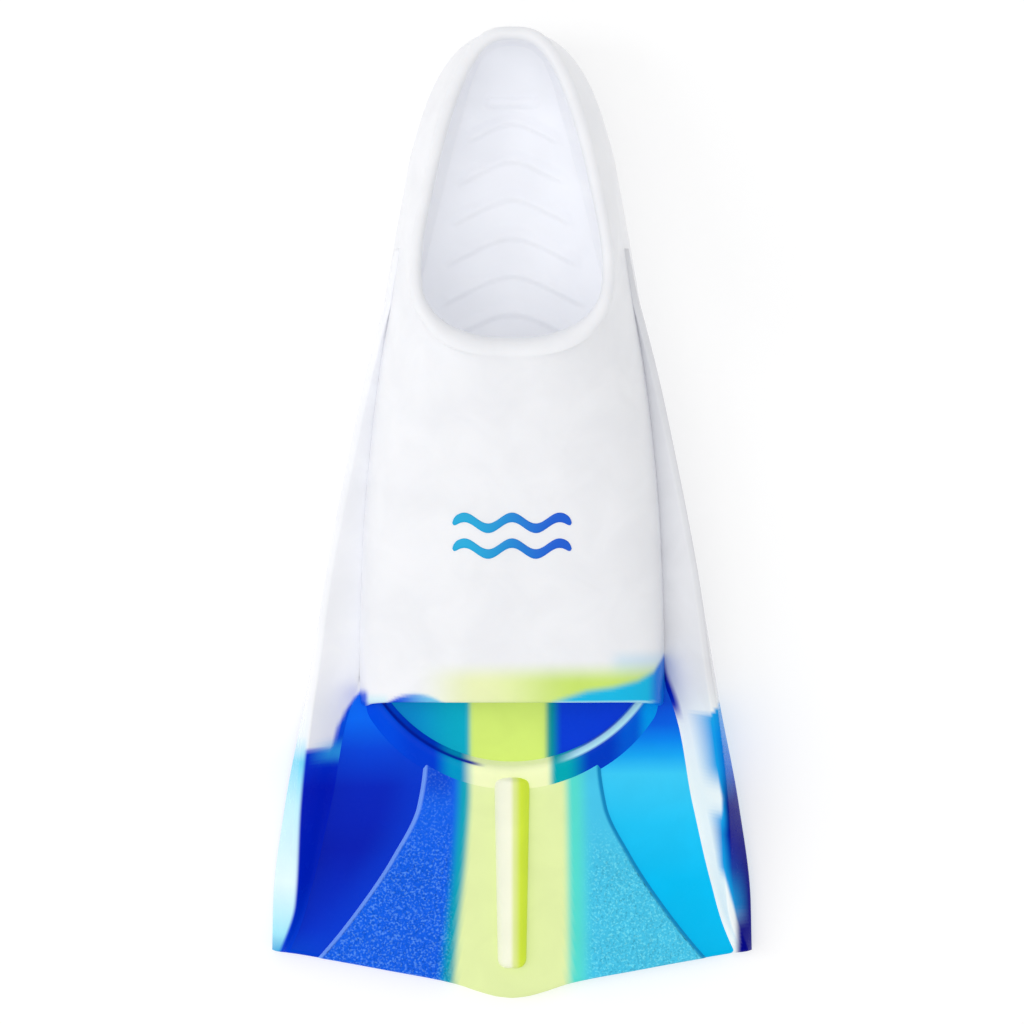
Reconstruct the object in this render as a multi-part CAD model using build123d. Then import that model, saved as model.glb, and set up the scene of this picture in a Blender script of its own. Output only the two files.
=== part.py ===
from build123d import *
import os
from collections import namedtuple
from math import cos, sin, pi, sqrt

# Short silicone swim training fin with an open toe, lying on its sole.
# Millimetres. +Z up, +Y from the blade's tip to the heel, X across, symmetric about the YZ plane.
# Origin: on the floor, under the middle of the fin. Y values below are counted from the drawing's datum, and
# every node is moved by DATUM_Y as it is written, so that the origin is midway between tip and heel.
# The fin is one moulding, so each node below is one zone of it, with its own shape, thickness or colour.
# Every shape is made as its +X half and mirrored when it is written.

# ---- driving dimensions ----
DATUM_Y = 2.2
TIP_Y = -184.6                # point of the blade's trailing edge
CORNER_X = 91.5               # half width at the trailing corners
CORNER_Y = -166.5

SIDE_WALL = 3.2
COVER_WALL = 3.2
SOLE = 4.2                    # outsole, from the tread's roots to the footbed's underside
SOLE_TRAY = 9.5               # the outsole's side walls stand this far above its underside
FOOTBED = 2.3                 # plate inside the pocket, on the outsole
RIM_HEIGHT = 4.5              # rolled edge of the foot opening
RIM_PROUD = 0.6
MOUTH_Y = -73.0               # front edge of the instep cover
MOUTH_BEAD = 4.0              # thickened front edge of the cover
TREAD = 1.0                   # the sole's tread stands this far out
TREAD_PITCH = 13.0
TREAD_FIRST_Y = 60.0
TREAD_COUNT = 9
HEEL_PAD_Y = (112.0, 150.0)   # the heel's flat tread pad, which touches the floor
HEEL_PAD_HALF = 20.0
RIDGE = 1.3                   # the footbed's grip ridges stand this far up
RIDGE_PITCH = 15.0
RIDGE_FIRST_Y = 146.0
RIDGE_COUNT = 13

LIP_CENTRE_Y = -36.3          # the toe lip is an arc about this point
LIP_R_IN = 60.2
LIP_R_OUT = 65.0
LIP_TOP = 19.0

FLEX_REAR_Y = -103.0          # the flex zone runs between these two planes; the hinge line is midway
FLEX_FRONT_Y = -115.0

CENTRE_RAISE = 1.0            # the textured centre stands above the smooth side channels
RIB_HALF = 6.0
RIB_TIP_HALF = 4.5
RIB_RISE = 5.0
RIB_START_Y = -99.0
RIB_END_Y = -173.0
KEEL_HALF = 4.0
KEEL_DROP = 3.0

MARK = 0.3                    # printed mark's thickness
WAVE_Y = (-4.0, -13.5)        # the mark is two plain waves
WAVE_HALF = 22.0
WAVE_THICK = 3.6
WAVE_SWING = 2.0
WAVE_LENGTH = 17.6

# ---- the foot pocket: closed rings from the toe mouth to the foot opening ----
# Each ring lies in a plane that holds the X direction: it runs from its low point (sole, then heel) to its
# top point (instep cover). skew widens it towards the top; n_low and n_top square its two halves.
Ring = namedtuple("Ring", "top_y top_z low_y low_z half_w skew n_low n_top")
RINGS = [
    Ring(-73.0, 39.0, -73.0, 8.5, 56.0, -3.0, 5.0, 2.8),
    Ring(-59.0, 42.0, -59.0, 8.0, 56.3, -3.5, 5.0, 2.75),
    Ring(-45.0, 45.0, -45.0, 7.5, 56.5, -4.0, 5.0, 2.7),
    Ring(-10.0, 54.0, -8.0, 6.0, 55.5, -5.0, 5.0, 2.6),
    Ring(18.0, 61.5, 30.0, 4.0, 53.0, -5.0, 4.8, 2.5),
    Ring(36.0, 67.0, 72.0, 2.0, 49.5, -4.0, 4.2, 2.5),
    Ring(46.0, 70.0, 112.0, 1.0, 45.5, -2.0, 3.6, 2.5),
    Ring(52.0, 71.8, 150.0, 1.0, 42.0, 1.0, 3.0, 2.5),
    Ring(54.5, 72.5, 172.0, 9.0, 40.0, 3.0, 2.5, 2.6),
    Ring(55.5, 72.8, 180.2, 26.0, 37.5, 7.0, 2.8, 2.7),
    Ring(56.0, 73.0, 178.0, 49.0, 33.0, 12.0, 3.0, 2.8),
]
HALF_RING_POINTS = 12
SOLE_RINGS = RINGS[:8]        # the ones whose low point is on the sole

# ---- side rails: cross-sections from the ankle to the trailing corner ----
Rail = namedtuple("Rail", "y inner_x ridge_x outer_x ridge_z outer_z keel_z web_top web_low")
RAILS = [
    Rail(92.0, 36.0, 41.0, 43.0, 40.0, 37.0, 31.0, 37.0, 33.0),
    Rail(60.0, 40.0, 51.0, 52.5, 39.0, 33.0, 22.0, 32.0, 26.0),
    Rail(20.0, 48.0, 60.0, 61.5, 37.0, 27.0, 13.0, 26.0, 19.0),
    Rail(-30.0, 52.0, 69.5, 71.0, 34.0, 21.0, 7.0, 20.0, 13.5),
    Rail(-72.0, 62.0, 75.5, 78.5, 31.0, 15.5, 4.0, 16.5, 10.5),
    Rail(-110.0, 70.0, 80.0, 86.0, 25.0, 10.5, 2.0, 13.8, 8.6),
    Rail(-148.0, 79.5, 82.5, 91.0, 16.5, 6.0, 0.6, 10.0, 6.0),
    Rail(-168.0, 87.5, 89.0, 91.5, 9.5, 4.0, 0.0, 8.2, 4.6),
]
RIDGE_FLAT = 1.2              # half width of a rail's crest
KEEL_IN = 7.0                 # a rail's underside runs in this far from its outer edge

# Bounds well outside the fin, for cutting.
FLOOR = -50.0
SKY = 150.0
WIDE = 150.0
FAR_FRONT = -200.0
FAR_REAR = 200.0


# ---- helpers ----
def half_face(ring):
    """The +X half of a ring, a superellipse whose low and top halves have their own power."""
    points = []
    for k in range(HALF_RING_POINTS + 1):
        t = pi * k / HALF_RING_POINTS
        n = ring.n_low if cos(t) > 0 else ring.n_top
        reach = (abs(cos(t)) ** n + sin(t) ** n) ** (-1 / n)
        along = -cos(t) * reach
        across = sin(t) * reach * (ring.half_w + ring.skew * along)
        share = (along + 1) / 2
        y = ring.low_y + (ring.top_y - ring.low_y) * share
        z = ring.low_z + (ring.top_z - ring.low_z) * share
        points.append(Vector(across, y, z))
    steps = [k / HALF_RING_POINTS for k in range(HALF_RING_POINTS + 1)]
    curve = Edge.make_spline(points, tangents=[Vector(1, 0, 0), Vector(-1, 0, 0)], parameters=steps)
    return make_face(Wire([curve, Edge.make_line(points[-1], points[0])]))


def inset(ring, side, low, top):
    """The same ring made smaller: side off its half width, low and top off its two ends."""
    dy, dz = ring.top_y - ring.low_y, ring.top_z - ring.low_z
    length = sqrt(dy * dy + dz * dz)
    uy, uz = dy / length, dz / length
    return ring._replace(
        low_y=ring.low_y + uy * low, low_z=ring.low_z + uz * low,
        top_y=ring.top_y - uy * top, top_z=ring.top_z - uz * top,
        half_w=ring.half_w - side)


def pocket(side=0.0, low=0.0, top=0.0, run_out=0.0):
    """The pocket's outside made smaller by those walls, run out past both ends so that it cuts cleanly."""
    rings = [inset(r, side, low, top) for r in RINGS]
    if run_out:
        first, last = rings[0], rings[-1]
        rings[0] = first._replace(top_y=first.top_y - run_out, low_y=first.low_y - run_out)
        rings[-1] = last._replace(top_y=last.top_y + 0.2 * run_out, top_z=last.top_z + run_out,
                                  low_y=last.low_y + 0.2 * run_out, low_z=last.low_z + run_out)
    return loft([half_face(r) for r in rings])


def side_prism(points):
    """A solid from a closed outline in the YZ plane, run out in +X."""
    wire = Wire.make_polygon([Vector(0, y, z) for y, z in points], close=True)
    return extrude(make_face(wire), amount=WIDE, dir=(1, 0, 0))


def upwards(face, low, high):
    return extrude(face.moved(Location((0, 0, low))), amount=high - low, dir=(0, 0, 1))


def plan_prism(points, low=FLOOR, high=SKY):
    """A solid from a closed outline in the XY plane, run upwards."""
    wire = Wire.make_polygon([Vector(x, y, 0) for x, y in points], close=True)
    return upwards(make_face(wire), low, high)


def between(shape, y_low, y_high):
    """The stretch of a shape between two planes across the fin."""
    return shape & Pos(0, (y_low + y_high) / 2, 0) * Box(2 * WIDE, y_high - y_low, 2 * SKY)


def solids_of(*shapes):
    return [s for shape in shapes for s in shape.solids() if s.volume > 0.5]


def save(name, solids):
    placed = [s.moved(Location((0, DATUM_Y, 0))) for s in solids]
    body = placed[0] if len(placed) == 1 else Compound(children=placed)
    export_step(body, f"parts/{name}.step")


def write_across(name, *halves):
    """A node that crosses the middle: each half and its mirror image are one solid."""
    save(name, [s for half in solids_of(*halves) for s in (half + mirror(half, about=Plane.YZ)).solids()])


def write_pair(name, half):
    """Two nodes, one on each side."""
    save(f"{name}_right", solids_of(half))
    save(f"{name}_left", solids_of(mirror(half, about=Plane.YZ)))


def rail_section(r):
    outline = [
        (r.inner_x, r.web_top),
        (r.ridge_x - RIDGE_FLAT, r.ridge_z),
        (r.ridge_x + RIDGE_FLAT, r.ridge_z - 0.6),
        (r.outer_x, r.outer_z),
        (r.outer_x - 1.0, r.keel_z),
        (r.outer_x - KEEL_IN, r.keel_z),
        (r.inner_x, r.web_low),
    ]
    return make_face(Wire.make_polygon([Vector(x, r.y, z) for x, z in outline], close=True))


def chevron(apex_y, half_span, sweep, thick):
    """Half of a bar bent like a wide arrowhead, with its point towards the heel, as seen from above."""
    flat = 0.25 * half_span
    return plan_prism([
        (0, apex_y), (flat, apex_y), (half_span, apex_y - sweep),
        (half_span, apex_y - sweep - thick), (flat, apex_y - thick), (0, apex_y - thick)])


def below(rise):
    """Everything under the sole line raised by rise, from the toe to past the heel."""
    line = [(r.low_y, r.low_z + rise) for r in SOLE_RINGS]
    start = (MOUTH_Y - 10.0, line[0][1])
    end_z = line[-1][1]
    return side_prism([(start[0], FLOOR), start, *line, (FAR_REAR, end_z), (FAR_REAR, FLOOR)])


os.makedirs("parts", exist_ok=True)

# ---- foot pocket ----
outside = pocket()
cavity = pocket(SIDE_WALL, SOLE, COVER_WALL, run_out=4.0)
walls = outside - cavity
tray = below(SOLE_TRAY)
upper = walls - tray
write_across("foot_pocket_shell", between(upper, MOUTH_Y + MOUTH_BEAD, FAR_REAR))
write_across("cover_front_bead", between(upper, MOUTH_Y, MOUTH_Y + MOUTH_BEAD))
write_across("outsole", walls & tray)

footbed_rise = SOLE + FOOTBED
write_across("footbed", between(cavity & below(footbed_rise), MOUTH_Y, FAR_REAR))

ridge_layer = below(footbed_rise + RIDGE) - below(footbed_rise)
ridge_zone = between(ridge_layer & pocket(SIDE_WALL + 4.0, SOLE + 1.5, COVER_WALL), MOUTH_Y + 1.0, FAR_REAR)
ridges = []
for k in range(RIDGE_COUNT):
    ridge_half = min(19.0 + 2.4 * k, 34.0)
    ridges.append(ridge_zone & chevron(RIDGE_FIRST_Y - RIDGE_PITCH * k, ridge_half, 0.36 * ridge_half, 3.2))
write_across("footbed_ridges", *ridges)

tread_zone = (below(0.0) - below(-TREAD)) & pocket(6.0, -2.0, 0.0) - outside
treads = [tread_zone & chevron(TREAD_FIRST_Y - TREAD_PITCH * k, 36.0, 10.0, 5.0) for k in range(TREAD_COUNT)]
write_across("sole_tread", *treads)

heel_pad = plan_prism([
    (0, HEEL_PAD_Y[0]), (HEEL_PAD_HALF, HEEL_PAD_Y[0]), (HEEL_PAD_HALF, HEEL_PAD_Y[1] - 5.0),
    (0.6 * HEEL_PAD_HALF, HEEL_PAD_Y[1]), (0, HEEL_PAD_Y[1])], 0.0, 4.0)
write_across("heel_pad", heel_pad - outside)

# The rolled edge of the opening stands on the last ring, square to its plane.
opening = RINGS[-1]
rim_up = Vector(0, opening.top_z - opening.low_z, opening.low_y - opening.top_y).normalized()


def rim_plug(inwards, run_out=0.0):
    half = half_face(inset(opening, inwards, inwards, inwards)).moved(Location(rim_up * -run_out))
    return extrude(half, amount=RIM_HEIGHT + 2 * run_out, dir=rim_up)


write_across("opening_rim", rim_plug(-RIM_PROUD) - rim_plug(SIDE_WALL + RIM_PROUD, run_out=3.0))

# ---- toe opening: its floor and its curved lip ----
toe_floor_top = RINGS[0].low_z + footbed_rise
lip_disc = Pos(0, LIP_CENTRE_Y, 0) * Cylinder(LIP_R_OUT, 2 * SKY)
lip_hole = Pos(0, LIP_CENTRE_Y, 0) * Cylinder(LIP_R_IN, 2 * SKY)
ahead = [(0, MOUTH_Y), (WIDE, MOUTH_Y), (WIDE, FAR_FRONT), (0, FAR_FRONT)]
write_across("toe_floor", plan_prism(ahead, RINGS[0].low_z, toe_floor_top) & lip_hole)
write_across("toe_lip", (plan_prism(ahead, RINGS[0].low_z, LIP_TOP) & lip_disc) - lip_hole)

# ---- side rails, cut where the blade flexes ----
trailing = plan_prism([(0, FAR_REAR), (WIDE, FAR_REAR), (WIDE, CORNER_Y), (CORNER_X, CORNER_Y), (0, TIP_Y)])
rail = (loft([rail_section(r) for r in RAILS], ruled=True) & trailing) - outside
write_pair("rail_rear", between(rail, FLEX_REAR_Y, FAR_REAR))
write_pair("rail_flex", between(rail, FLEX_FRONT_Y, FLEX_REAR_Y))
write_pair("rail_blade", between(rail, FAR_FRONT, FLEX_FRONT_Y))


# ---- the web between the rails: a raised centre and two side channels ----
def rail_inner_x(y):
    """A rail's inner edge at y, by straight runs between its sections."""
    for a, b in zip(RAILS, RAILS[1:]):
        if b.y <= y <= a.y:
            return a.inner_x + (b.inner_x - a.inner_x) * (y - a.y) / (b.y - a.y)
    return RAILS[-1].inner_x


WEB_REAR_Y = -60.0
web_rails = [r for r in RAILS if r.y <= MOUTH_Y + 1.0]
web_top = [(TIP_Y - 5.0, 6.6), *[(r.y, r.web_top) for r in reversed(web_rails)], (WEB_REAR_Y, 17.0)]
web_low = [(TIP_Y - 5.0, 3.4), *[(r.y, r.web_low) for r in reversed(web_rails)], (WEB_REAR_Y, 11.0)]
raised_top = [(y, z + CENTRE_RAISE) for y, z in web_top]
inner_line = [(rail_inner_x(y), y) for y in (WEB_REAR_Y, *[r.y for r in web_rails])]
web_zone = (plan_prism([(0, WEB_REAR_Y), *inner_line, (inner_line[-1][0], FAR_FRONT), (0, FAR_FRONT)])
            & trailing) - lip_disc - outside

# The step line between the textured centre and the smooth side channels.
step_points = [Vector(33.0, -94.0), Vector(35.2, -110.6), Vector(45.0, -130.8), Vector(57.6, -149.8),
               Vector(73.0, -169.0), Vector(79.0, -176.0)]
centre_outline = [Vector(79.0, FAR_FRONT), Vector(0, FAR_FRONT), Vector(0, WEB_REAR_Y),
                  Vector(33.0, WEB_REAR_Y), step_points[0]]
centre_face = make_face(Wire([Edge.make_spline(step_points),
                              Edge.make_line(step_points[-1], centre_outline[0]),
                              *Wire.make_polygon(centre_outline, close=False).edges()]))
centre_zone = upwards(centre_face, FLOOR, SKY)

centre_web = side_prism([*raised_top, *reversed(web_low)]) & web_zone & centre_zone
channel_web = (side_prism([*web_top, *reversed(web_low)]) & web_zone) - centre_zone

rib_plan = plan_prism([(0, RIB_START_Y), (RIB_HALF, RIB_START_Y), (RIB_TIP_HALF, RIB_END_Y), (0, RIB_END_Y)])
rib_bar = (side_prism([*raised_top, *[(y, z + RIB_RISE) for y, z in reversed(raised_top)]])
           & rib_plan) - lip_disc
keel_plan = plan_prism([(0, FLEX_REAR_Y), (KEEL_HALF, FLEX_REAR_Y), (KEEL_HALF, RIB_END_Y), (0, RIB_END_Y)])
keel_bar = side_prism([*web_low, *[(y, z - KEEL_DROP) for y, z in reversed(web_low)]]) & keel_plan

write_across("web_root", between(centre_web + rib_bar, FLEX_REAR_Y, FAR_REAR))
write_across("web_flex", between(centre_web + rib_bar + keel_bar, FLEX_FRONT_Y, FLEX_REAR_Y))
write_across("centre_panel", between(centre_web, FAR_FRONT, FLEX_FRONT_Y))
write_across("centre_rib", between(rib_bar, FAR_FRONT, FLEX_FRONT_Y))
write_across("keel_rib", between(keel_bar, FAR_FRONT, FLEX_FRONT_Y))
write_pair("channel_root", between(channel_web, FLEX_REAR_Y, FAR_REAR))
write_pair("channel_flex", between(channel_web, FLEX_FRONT_Y, FLEX_REAR_Y))
write_pair("channel_panel", between(channel_web, FAR_FRONT, FLEX_FRONT_Y))


# ---- printed mark on the instep: two plain waves, symmetric about the middle ----
def wave_prism(centre_y):
    steps = 12

    def edge(offset):
        xs = [WAVE_HALF * k / steps for k in range(steps + 1)]
        return Edge.make_spline([Vector(x, centre_y + offset + WAVE_SWING * cos(2 * pi * x / WAVE_LENGTH))
                                 for x in xs])

    top, low = edge(WAVE_THICK / 2), edge(-WAVE_THICK / 2)
    outline = Wire([top, low, Edge.make_line(top @ 1, low @ 1), Edge.make_line(low @ 0, top @ 0)])
    return upwards(make_face(outline), 30.0, SKY)


raised = pocket(-MARK, -MARK, -MARK, run_out=2.0)
write_across("printed_mark", *[(raised & wave_prism(y)) - outside for y in WAVE_Y])
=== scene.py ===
"""Looks of a short moulded swim training fin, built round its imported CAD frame."""

import math

import bmesh
import bpy
import numpy as np
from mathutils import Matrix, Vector
from mathutils.bvhtree import BVHTree


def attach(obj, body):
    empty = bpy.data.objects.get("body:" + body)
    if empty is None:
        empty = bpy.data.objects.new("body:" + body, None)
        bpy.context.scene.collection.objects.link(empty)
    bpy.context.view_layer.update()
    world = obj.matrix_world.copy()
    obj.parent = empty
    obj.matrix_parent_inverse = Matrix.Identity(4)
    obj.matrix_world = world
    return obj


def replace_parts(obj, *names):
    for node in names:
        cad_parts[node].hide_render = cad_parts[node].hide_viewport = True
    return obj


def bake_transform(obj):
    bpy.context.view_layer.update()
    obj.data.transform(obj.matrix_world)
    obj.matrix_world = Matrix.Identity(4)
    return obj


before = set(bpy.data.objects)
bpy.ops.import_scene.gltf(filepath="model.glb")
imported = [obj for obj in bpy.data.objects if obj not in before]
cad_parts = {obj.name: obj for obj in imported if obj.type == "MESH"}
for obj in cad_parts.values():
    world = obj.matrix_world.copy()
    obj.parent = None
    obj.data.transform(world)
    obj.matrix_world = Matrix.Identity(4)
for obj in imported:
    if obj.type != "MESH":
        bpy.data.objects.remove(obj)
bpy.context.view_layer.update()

# Shapes are in millimetres with the heel at +Y. Y is moved by SHIFT_Y into the frame, which is in metres.
MM = 0.001
SHIFT_Y = 2.2

# Foot pocket rings: top_y top_z low_y low_z half_width skew low_power top_power
RINGS = np.array([
    (-73, 39, -73, 8.5, 56, -3, 5, 2.8),
    (-59, 42, -59, 8, 56.3, -3.5, 5, 2.75),
    (-45, 45, -45, 7.5, 56.5, -4, 5, 2.7),
    (-10, 54, -8, 6, 55.5, -5, 5, 2.6),
    (18, 61.5, 30, 4, 53, -5, 4.8, 2.5),
    (36, 67, 72, 2, 49.5, -4, 4.2, 2.5),
    (46, 70, 112, 1, 45.5, -2, 3.6, 2.5),
    (52, 71.8, 150, 1, 42, 1, 3, 2.5),
    (54.5, 72.5, 172, 9, 40, 3, 2.5, 2.6),
    (55.5, 72.8, 180.2, 26, 37.5, 7, 2.8, 2.7),
    (56, 73, 178, 49, 33, 12, 3, 2.8),
])
LAST_RING = 10
MOUTH_STEP = 14               # from the first ring to the second
SIDE_WALL = 3.2
SOLE = 4.2
EDGE_R = 1.6                  # half round of the cover's front edge
MOUTH_PULL = 2                # the cover's front edge lies this far behind the first ring
RIM_UP = np.array([0, 0.2, 0.98])
FRONT_HANG = np.array([0, 1.5, -4.4])    # the roll's inner side hangs down at the opening's front
# Rolled edge of the opening: distance in from the outer wall, height over it
RIM = np.array([
    (0.45, 0), (0.3, 0.5), (-0.25, 1.1), (-0.6, 1.9), (-0.65, 2.8), (-0.3, 3.6), (0.5, 4.25),
    (1.5, 4.5), (2.6, 4.35), (3.5, 3.7), (4, 2.8), (4.1, 1.8), (3.8, 0.6), (3.4, -0.8),
])
# The same at the opening's front, where the cover rolls softly in
RIM_FRONT = np.array([
    (0, 3), (0.5, 3.3), (1.1, 3.55), (1.9, 3.75), (2.9, 3.8), (4, 3.6), (5.2, 3),
    (6.4, 2), (7.4, 0.6), (8.1, -1.2), (8.3, -3), (7.7, -4.5), (6.4, -5.2), (4.8, -4.8),
])

# Rails: y inner_x ridge_x outer_x ridge_z outer_z keel_z web_top web_low, from the heel to the tip
RAILS = np.array([
    (98, 34, 38.5, 40, 40, 37.5, 33, 38, 34),
    (92, 36, 41, 43, 40, 37, 31, 37, 33),
    (60, 40, 51, 52.5, 39, 33, 22, 36, 26),
    (20, 48, 60, 61.5, 37, 27, 13, 32.5, 19),
    (-30, 52, 69.5, 71, 34, 21, 7, 25.5, 13.5),
    (-60, 57.5, 73.6, 76.4, 31.8, 17, 4.8, 18.5, 11),
    (-72, 62, 75.5, 78.5, 31, 15.5, 4, 16.5, 10.5),
    (-110, 70, 80, 86, 25, 10.5, 2, 13.8, 8.6),
    (-148, 79.5, 82.5, 91, 16.5, 6, 0.6, 10, 6),
    (-168, 87.5, 89, 91.5, 9.5, 4, 0, 8.2, 4.6),
])
RAIL_START_Y = 98
RAIL_END_Y = -166.5
RAIL_RADII = (0.6, 5, 0.8, 1, 1.6, 1.2, 1.5, 0.8)
RIDGE_FLAT = 1.2              # half width of a rail's crest
KEEL_IN = 7                   # a rail's underside runs in this far from its outer edge
WALL_SINK = 2                 # a rail reaches this far into the pocket's wall

WEB_TOP = ([-190, -168, -148, -110, -72, -58], [6.6, 8.2, 10, 13.8, 16.5, 17])
WEB_LOW = ([-190, -168, -148, -110, -72, -58], [3.4, 4.6, 6, 8.6, 10.5, 11])
STEP_X = ([-180, -169, -149.8, -130.8, -110.6, -94, -58], [84, 73, 57.6, 45, 35.2, 33, 33])
TIP_Y = ([0, 5, 12, 21.4, 47.6, 72.6, 88.3, 95],
         [-184.6, -184.1, -182.3, -179.2, -174, -169.4, -166.8, -165.8])
CENTRE_RAISE = 1.2
STEP_WIDE = 1.9
TIP_R = 1.5

LIP_CENTRE_Y = -36.3
LIP_MID = 62.6
LIP_TURN = 66                 # degrees to each side, thinning out from LIP_THIN on
LIP_THIN = 52
LIP_ROOT_Z = 13
LIP = [(57.4, 14), (58.6, 16.2), (59.7, 18), (60.9, 18.8), (62.2, 18.9), (63.8, 18.5), (65.6, 17.4),
       (67.6, 16), (70, 14.4), (72, 11), (62.5, 10.2), (57.4, 11)]
TOE_FLOOR_Z = 15

RING_POINTS = 208
OUTER_ROWS = 132
INNER_ROWS = 112
FOOTBED = 2.3
PAD_CLIMB = 6                 # the footbed runs this far up the walls
PAD_SOFT = 1.4
PAD_DEEP = 1.3

CHEVRONS = 13
CHEVRON_FIRST_Y = 148
CHEVRON_PITCH = 14.5
CHEVRON_HIGH = 1.3

WAVE_Y = (-4, -13.5)
WAVE_HALF = 22
WAVE_THICK = 3.6
WAVE_SWING = 2
WAVE_LENGTH = 17.6
MARK_RISE = 0.3
MARK_SINK = 0.4

# Share of its own colour that a surface gives off: painted light, standing in for the light that comes
# through soft silicone and lifting the shade inside the pocket, on the footbed, the toe floor, the lip and
# the left rail
GLOW = 0.015
POCKET_GLOW = 0.09
FOOTBED_GLOW = (0.05, 0.15)
TOE_FLOOR_GLOW = 0.12
LIP_GLOW = 0.1
LEFT_RAIL_GLOW = 0.07

# Colour borders: the swirl's two sides and the rails' whites as (y, x), the cover's cyan corner as (x, y)
SWIRL_LEFT = ([-177, -156, -130, -104, -60], [-21.4, -19.5, -16.8, -15.2, -15])
SWIRL_RIGHT = ([-180, -110, -60], [22.5, 21.5, 20])
CORNER_EDGE = ([15, 28, 37.6, 47, 53, 57], [-71, -66.6, -65.3, -62.9, -59.6, -54])
LEFT_WHITE = ([-98, -88, -81.4, -74.6, -70, -65.6, -60, -40],
              [71, 67.8, 66, 62.7, 59.6, 54.8, 50, 20])
RIGHT_WHITE = ([-164, -154, -134, -121, -112, -107, -95.6, -83, -76, -70],
               [89.6, 85.2, 79.2, 77.2, 78.8, 78.9, 76.2, 73.4, 74, 80])

# Grain of the silicone, in waves a metre
MOTTLE = 55
SWELL = 90
SHEEN = 240
WRINKLES = 620
PEBBLES = 820
# Scale of the pebbled panel's painted glints: lighter flecks of its own colour
PAINTED_GLINTS = 1150
SKIN = 1700

# Stage: lengths in metres, the lens in millimetres, and shares of white light
FLOOR_HALF = 6
FLOOR_Z = -0.0003
FLOOR_GREY = 0.6
FLOOR_GLOW = 0.46
SKY_LIGHT = 0.68
LENS = 147.5
CAMERA_Z = 1.6


# Numbers and curves

def ease(value, start, end):
    """0 before start, 1 past end, smooth between them. start may be the greater one."""
    t = np.clip((np.asarray(value, float) - start) / (end - start), 0, 1)
    return t * t * (3 - 2 * t)


def curve(x, xs, ys):
    """Monotone cubic through the points (xs, ys), with xs rising. It stays flat past both ends."""
    xs, ys = np.asarray(xs, float), np.asarray(ys, float)
    step = np.diff(xs)
    slope = np.diff(ys) / step
    tangent = np.zeros(len(xs))
    tangent[0], tangent[-1] = slope[0], slope[-1]
    for k in range(1, len(xs) - 1):
        if slope[k - 1] * slope[k] > 0:
            a, b = 2 * step[k] + step[k - 1], step[k] + 2 * step[k - 1]
            tangent[k] = (a + b) / (a / slope[k - 1] + b / slope[k])
    x = np.clip(np.asarray(x, float), xs[0], xs[-1])
    k = np.clip(np.searchsorted(xs, x, "right") - 1, 0, len(xs) - 2)
    t = (x - xs[k]) / step[k]
    return (ys[k] * (1 + 2 * t) * (1 - t) ** 2 + step[k] * tangent[k] * t * (1 - t) ** 2
            + ys[k + 1] * t * t * (3 - 2 * t) + step[k] * tangent[k + 1] * t * t * (t - 1))


def rail_value(y, column):
    return curve(y, RAILS[::-1, 0], RAILS[::-1, column])


def web_top(y):
    return curve(y, *WEB_TOP)


def web_low(y):
    return curve(y, *WEB_LOW)


def tip_y(x):
    return curve(np.abs(x), *TIP_Y)


def lip_y(x, radius=LIP_MID):
    """Front of the toe lip's arc of that radius, at x."""
    return LIP_CENTRE_Y - np.sqrt(np.maximum(radius ** 2 - np.asarray(x, float) ** 2, 0))


# Meshes

def to_frame(points):
    """Millimetres to the frame's metres."""
    return (np.asarray(points, float).reshape(-1, 3) + (0, SHIFT_Y, 0)) * MM


def make_object(name, points, faces, material, paint, glow=GLOW):
    """A closed, smooth-shaded mesh that keeps its colour, its rest place and its glow in attributes.
    glow is one share, or one for each point."""
    points = np.asarray(points, float).reshape(-1, 3)
    mesh = bpy.data.meshes.new(name)
    mesh.from_pydata(to_frame(points).tolist(), [], faces)
    work = bmesh.new()
    work.from_mesh(mesh)
    bmesh.ops.recalc_face_normals(work, faces=work.faces)
    work.to_mesh(mesh)
    work.free()
    mesh.polygons.foreach_set("use_smooth", [True] * len(mesh.polygons))
    colours = np.ones((len(points), 4))
    colours[:, :3] = np.clip(paint(points), 0, 1)
    mesh.attributes.new("paint", "FLOAT_COLOR", "POINT").data.foreach_set("color", colours.ravel())
    mesh.attributes.new("rest", "FLOAT_VECTOR", "POINT").data.foreach_set("vector", to_frame(points).ravel())
    shares = np.broadcast_to(np.asarray(glow, np.float32), len(points))
    mesh.attributes.new("glow", "FLOAT", "POINT").data.foreach_set("value", np.ascontiguousarray(shares))
    mesh.materials.append(material)
    obj = bpy.data.objects.new(name, mesh)
    bpy.context.scene.collection.objects.link(obj)
    return obj


def grid_faces(rows, columns, wrap_rows=False, wrap_columns=False, start=0):
    faces = []
    for i in range(rows if wrap_rows else rows - 1):
        for j in range(columns if wrap_columns else columns - 1):
            a, b = i * columns, (i + 1) % rows * columns
            k = (j + 1) % columns
            faces.append((start + a + j, start + b + j, start + b + k, start + a + k))
    return faces


def slab_faces(rows, columns):
    """Faces of a top grid, a bottom grid and the wall round them."""
    count = rows * columns
    faces = grid_faces(rows, columns) + [f[::-1] for f in grid_faces(rows, columns, start=count)]
    border = (list(range(columns)) + [i * columns + columns - 1 for i in range(1, rows)]
              + [(rows - 1) * columns + j for j in range(columns - 2, -1, -1)]
              + [i * columns for i in range(rows - 2, 0, -1)])
    for a, b in zip(border, border[1:] + border[:1]):
        faces.append((a, b, b + count, a + count))
    return faces


def make_slab(name, x, y, top, low, material, paint, glow=GLOW):
    """A closed slab over a grid of (x, y), between the heights top and low."""
    points = np.concatenate([np.stack([x, y, z], -1).reshape(-1, 3) for z in (top, low)])
    if np.ndim(glow):
        glow = np.tile(np.ravel(glow + 0 * x), 2)
    return make_object(name, points, slab_faces(*x.shape), material, paint, glow)


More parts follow.
